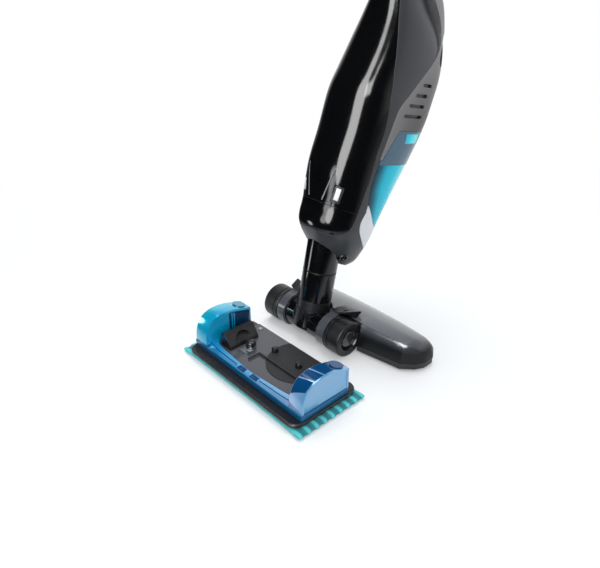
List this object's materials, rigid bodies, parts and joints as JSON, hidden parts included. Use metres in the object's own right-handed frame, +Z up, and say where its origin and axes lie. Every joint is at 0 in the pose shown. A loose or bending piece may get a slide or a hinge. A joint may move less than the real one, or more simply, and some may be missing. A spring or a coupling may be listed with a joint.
{
  "type": "cordless stick vacuum cleaner with clip-on wet mop",
  "caption": "Upright cordless stick vacuum with a lift-out hand unit, tilting and swivelling neck, powered floor nozzle and a separate clip-on wet mop with a water tank.",
  "frame": {"origin": "on the floor, under the middle of the bounding box", "axes": "+Z up, +Y the way the nozzle points, +X along the wheel axle to the right"},
  "size_m": [0.244, 0.464, 1.0922],
  "materials": {
    "gloss_black": "high gloss",
    "satin_black": "satin",
    "satin_grey": "satin",
    "gloss_grey": "gloss",
    "rubber": "matt",
    "tyre": "matt",
    "steel": "brushed",
    "silver": "satin",
    "bin_cyan": "clear tinted",
    "tank_blue": "high gloss, tinted",
    "tank_cyan": "high gloss, tinted",
    "bristle": "tufted",
    "cloth": "woven microfibre",
    "pleats": "matt",
    "battery_wrap": "satin",
    "light_plastic": "satin"
  },
  "bodies": {
    "floor_head": {"nozzle_cover": "satin_grey", "nozzle_base": "satin_black", "hinge_arm_left": "satin_grey", "hinge_arm_right": "satin_grey", "stub_axles": "steel", "brush_motor": "steel", "drive_belt": "rubber", "roller_pins": "steel"},
    "brush_roll": {"brush_core": "steel", "brush_bristles": "bristle"},
    "motor_shaft": {"motor_pulley": "light_plastic"},
    "front_roller_left": {"front_roller_left": "satin_black"},
    "front_roller_right": {"front_roller_right": "satin_black"},
    "wheel_left": {"tyre_left": "tyre", "wheel_hub_left": "satin_black"},
    "wheel_right": {"tyre_right": "tyre", "wheel_hub_right": "satin_black"},
    "neck": {"neck_barrel": "gloss_black", "neck_tongue": "satin_grey", "lower_tube": "gloss_black", "swivel_ring": "satin_black"},
    "stick": {"upper_tube": "gloss_black", "cradle_shell": "satin_grey", "back_cover": "gloss_black", "boot_cover": "gloss_black", "cup_gasket": "satin_black", "stem_tube": "gloss_black", "stem_collar": "satin_black", "handle_loop": "satin_black", "handle_grip": "rubber"},
    "release_button_left": {"release_button_left": "satin_black"},
    "release_button_right": {"release_button_right": "satin_black"},
    "power_slider": {"power_slider": "light_plastic"},
    "hand_unit": {"hand_shell_left": "satin_grey", "hand_shell_right": "satin_grey", "hand_bulkhead": "satin_black", "fan_motor": "steel", "battery_pack": "battery_wrap", "nose_cover": "silver"},
    "fan": {"fan_wheel": "light_plastic"},
    "dust_bin": {"dust_bin": "bin_cyan", "filter_frame": "satin_black", "filter_pleats": "pleats"},
    "bin_latch": {"bin_latch": "bin_cyan"},
    "mop": {"mop_cloth": "cloth", "grip_strips": "light_plastic", "mop_plate": "satin_black", "tank_frame": "tank_blue", "mop_deck": "gloss_grey", "rest_disc": "gloss_grey", "latch_block": "satin_black", "valve_seat": "steel", "locating_studs": "satin_black", "water_line": "satin_black", "deck_screws": "steel"},
    "valve_knob": {"valve_knob": "satin_black"},
    "filler_cap_left": {"filler_cap_left": "tank_cyan"},
    "filler_cap_right": {"filler_cap_right": "tank_blue"}
  },
  "joints": [
    {"name": "brush_spin", "type": "hinge", "parent": "floor_head", "child": "brush_roll", "pos_m": [0.004, -0.01751, 0.0175], "axis": [1, 0, 0], "continuous": true},
    {"name": "pulley_spin", "type": "hinge", "parent": "floor_head", "child": "motor_shaft", "pos_m": [0.082, -0.04209, 0.027], "axis": [1, 0, 0], "continuous": true},
    {"name": "roller_left_spin", "type": "hinge", "parent": "floor_head", "child": "front_roller_left", "pos_m": [-0.088, -0.00051, 0.005], "axis": [1, 0, 0], "continuous": true},
    {"name": "roller_right_spin", "type": "hinge", "parent": "floor_head", "child": "front_roller_right", "pos_m": [0.096, -0.00051, 0.005], "axis": [1, 0, 0], "continuous": true},
    {"name": "wheel_left_spin", "type": "hinge", "parent": "floor_head", "child": "wheel_left", "pos_m": [-0.0953, -0.07351, 0.024], "axis": [1, 0, 0], "continuous": true},
    {"name": "wheel_right_spin", "type": "hinge", "parent": "floor_head", "child": "wheel_right", "pos_m": [0.0233, -0.07351, 0.024], "axis": [1, 0, 0], "continuous": true},
    {"name": "neck_tilt", "type": "hinge", "parent": "floor_head", "child": "neck", "pos_m": [-0.036, -0.07351, 0.024], "axis": [1, 0, 0], "range_deg": [0, 60]},
    {"name": "neck_swivel", "type": "hinge", "parent": "neck", "child": "stick", "pos_m": [-0.036, -0.05821, 0.09538], "axis": [0, 0.2096, 0.9778], "range_deg": [-60, 60]},
    {"name": "button_left_press", "type": "slide", "parent": "stick", "child": "release_button_left", "axis": [0.6157, 0.7077, -0.3467], "range_m": [0, 0.002], "stiffness_N_per_m": 400},
    {"name": "button_right_press", "type": "slide", "parent": "stick", "child": "release_button_right", "axis": [-0.6157, 0.7077, -0.3467], "range_m": [0, 0.002], "stiffness_N_per_m": 400},
    {"name": "power_slide", "type": "slide", "parent": "stick", "child": "power_slider", "axis": [0, 0.2096, 0.9778], "range_m": [0, 0.006]},
    {"name": "hand_unit_lift", "type": "slide", "parent": "stick", "child": "hand_unit", "axis": [0, 0.9143, 0.4051], "range_m": [0, 0.12]},
    {"name": "fan_spin", "type": "hinge", "parent": "hand_unit", "child": "fan", "pos_m": [-0.036, 0.06833, 0.28507], "axis": [0, 0.2096, 0.9778], "continuous": true},
    {"name": "bin_slide", "type": "slide", "parent": "hand_unit", "child": "dust_bin", "axis": [0, 0.9778, -0.2096], "range_m": [0, 0.08]},
    {"name": "bin_latch_press", "type": "slide", "parent": "hand_unit", "child": "bin_latch", "axis": [0, -0.9778, 0.2096], "range_m": [0, 0.002], "stiffness_N_per_m": 400},
    {"name": "mop_slide", "type": "slide", "parent": "floor_head", "child": "mop", "axis": [0, -1, 0], "range_m": [0, 0.1]},
    {"name": "valve_turn", "type": "hinge", "parent": "mop", "child": "valve_knob", "pos_m": [-0.049, -0.16851, 0.02], "axis": [0, 0, 1], "range_deg": [0, 90]},
    {"name": "cap_left_lift", "type": "slide", "parent": "mop", "child": "filler_cap_left", "axis": [0, 0.2751, 0.9614], "range_m": [0, 0.02]},
    {"name": "cap_right_lift", "type": "slide", "parent": "mop", "child": "filler_cap_right", "axis": [0, 0.2751, 0.9614], "range_m": [0, 0.02]}
  ],
  "couplings": [
    {"joint": "pulley_spin", "follows": "brush_spin", "ratio": 1.918}
  ]
}
